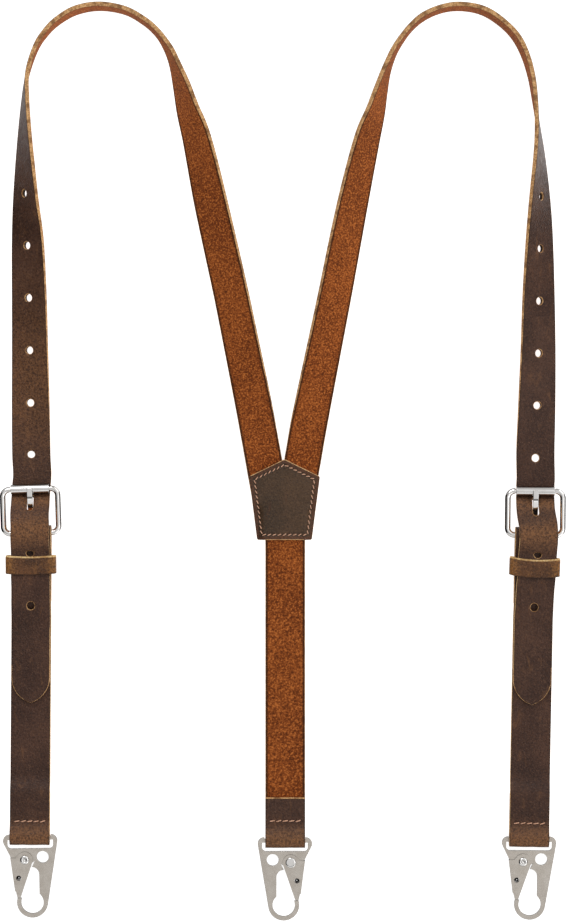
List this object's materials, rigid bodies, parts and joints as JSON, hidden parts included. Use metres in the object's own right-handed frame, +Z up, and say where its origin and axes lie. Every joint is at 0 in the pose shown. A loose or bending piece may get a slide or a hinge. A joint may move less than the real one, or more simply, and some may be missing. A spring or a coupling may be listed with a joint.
{
  "type": "suspenders",
  "caption": "Leather suspenders with a Y back, buckled shoulder straps and gated metal hooks, laid flat.",
  "frame": {"origin": "on the table, under the middle of the object's box", "axes": "+X to the right and +Y towards the shoulder loops as the suspenders lie, +Z up from the table"},
  "size_m": [0.3698, 0.5987, 0.0247],
  "materials": {
    "strap_leather": "waxed dark brown grain with an undyed orange-brown flesh side and light tan cut edges",
    "patch_leather": "waxed dark brown grain",
    "keeper_leather": "worn tan-brown grain with light cut edges",
    "thread": "waxed tan-pink thread",
    "polished_nickel": "polished nickel plate",
    "satin_nickel": "satin nickel plate",
    "spring_steel": "plain spring wire"
  },
  "bodies": {
    "straps": {"left_shoulder_strap": "strap_leather", "right_shoulder_strap": "strap_leather", "left_front_strap": "strap_leather", "right_front_strap": "strap_leather", "back_strap": "strap_leather", "inner_patch": "patch_leather", "outer_patch": "patch_leather", "patch_stitching": "thread", "left_fold_stitching": "thread", "right_fold_stitching": "thread", "back_fold_stitching": "thread", "left_buckle_stitching": "thread", "right_buckle_stitching": "thread"},
    "left_frame": {"left_buckle_frame": "polished_nickel"},
    "left_prong": {"left_buckle_prong": "polished_nickel"},
    "left_roller": {"left_buckle_roller": "polished_nickel"},
    "left_keeper": {"left_keeper": "keeper_leather"},
    "right_frame": {"right_buckle_frame": "polished_nickel"},
    "right_prong": {"right_buckle_prong": "polished_nickel"},
    "right_roller": {"right_buckle_roller": "polished_nickel"},
    "right_keeper": {"right_keeper": "keeper_leather"},
    "left_hook": {"left_hook_plate": "satin_nickel", "left_hook_rivet": "satin_nickel"},
    "left_gate": {"left_hook_gate": "satin_nickel", "left_hook_spring": "spring_steel"},
    "right_hook": {"right_hook_plate": "satin_nickel", "right_hook_rivet": "satin_nickel"},
    "right_gate": {"right_hook_gate": "satin_nickel", "right_hook_spring": "spring_steel"},
    "back_hook": {"back_hook_plate": "satin_nickel", "back_hook_rivet": "satin_nickel"},
    "back_gate": {"back_hook_gate": "satin_nickel", "back_hook_spring": "spring_steel"}
  },
  "joints": [
    {"name": "left_frame_tilt", "type": "hinge", "parent": "straps", "child": "left_frame", "pos_m": [-0.16422, -0.04507, 0.0064], "axis": [0.9994, 0.034, 0], "range_deg": [0, 3]},
    {"name": "left_prong_lift", "type": "hinge", "parent": "left_frame", "child": "left_prong", "pos_m": [-0.16422, -0.04507, 0.0064], "axis": [0.9994, 0.034, 0], "range_deg": [0, 2]},
    {"name": "left_roller_spin", "type": "hinge", "parent": "left_frame", "child": "left_roller", "pos_m": [-0.1652, -0.01639, 0.0064], "axis": [0.9994, 0.034, 0], "continuous": true},
    {"name": "left_keeper_slide", "type": "slide", "parent": "straps", "child": "left_keeper", "axis": [0.0061, 1, 0], "range_m": [-0.002, 0.002]},
    {"name": "right_frame_tilt", "type": "hinge", "parent": "straps", "child": "right_frame", "pos_m": [0.16478, -0.04647, 0.0064], "axis": [1, -0.0087, 0], "range_deg": [0, 3]},
    {"name": "right_prong_lift", "type": "hinge", "parent": "right_frame", "child": "right_prong", "pos_m": [0.16478, -0.04647, 0.0064], "axis": [1, -0.0087, 0], "range_deg": [0, 2]},
    {"name": "right_roller_spin", "type": "hinge", "parent": "right_frame", "child": "right_roller", "pos_m": [0.16503, -0.01777, 0.0064], "axis": [1, -0.0087, 0], "continuous": true},
    {"name": "right_keeper_slide", "type": "slide", "parent": "straps", "child": "right_keeper", "axis": [0.0192, 0.9998, 0], "range_m": [-0.002, 0.002]},
    {"name": "left_hook_swing", "type": "hinge", "parent": "straps", "child": "left_hook", "pos_m": [-0.16514, -0.24437, 0.00475], "axis": [-0.9999, -0.014, 0], "range_deg": [0, 120]},
    {"name": "left_gate_open", "type": "hinge", "parent": "left_hook", "child": "left_gate", "pos_m": [-0.16874, -0.25868, 0.00373], "axis": [0.001, -0.0712, 0.9975], "range_deg": [0, 24], "stiffness_Nm_per_rad": 0.02, "springref_deg": -11.46},
    {"name": "right_hook_swing", "type": "hinge", "parent": "straps", "child": "right_hook", "pos_m": [0.16095, -0.24573, 0.00475], "axis": [-1, 0.007, 0], "range_deg": [0, 120]},
    {"name": "right_gate_open", "type": "hinge", "parent": "right_hook", "child": "right_gate", "pos_m": [0.15705, -0.25997, 0.00373], "axis": [-0.0005, -0.0712, 0.9975], "range_deg": [0, 24], "stiffness_Nm_per_rad": 0.02, "springref_deg": -11.46},
    {"name": "back_hook_swing", "type": "hinge", "parent": "straps", "child": "back_hook", "pos_m": [0.00138, -0.24627, 0.00475], "axis": [-1, 0, 0], "range_deg": [0, 120]},
    {"name": "back_gate_open", "type": "hinge", "parent": "back_hook", "child": "back_gate", "pos_m": [0.00518, -0.26053, 0.00373], "axis": [0, 0.0712, -0.9975], "range_deg": [0, 24], "stiffness_Nm_per_rad": 0.02, "springref_deg": -11.46}
  ]
}
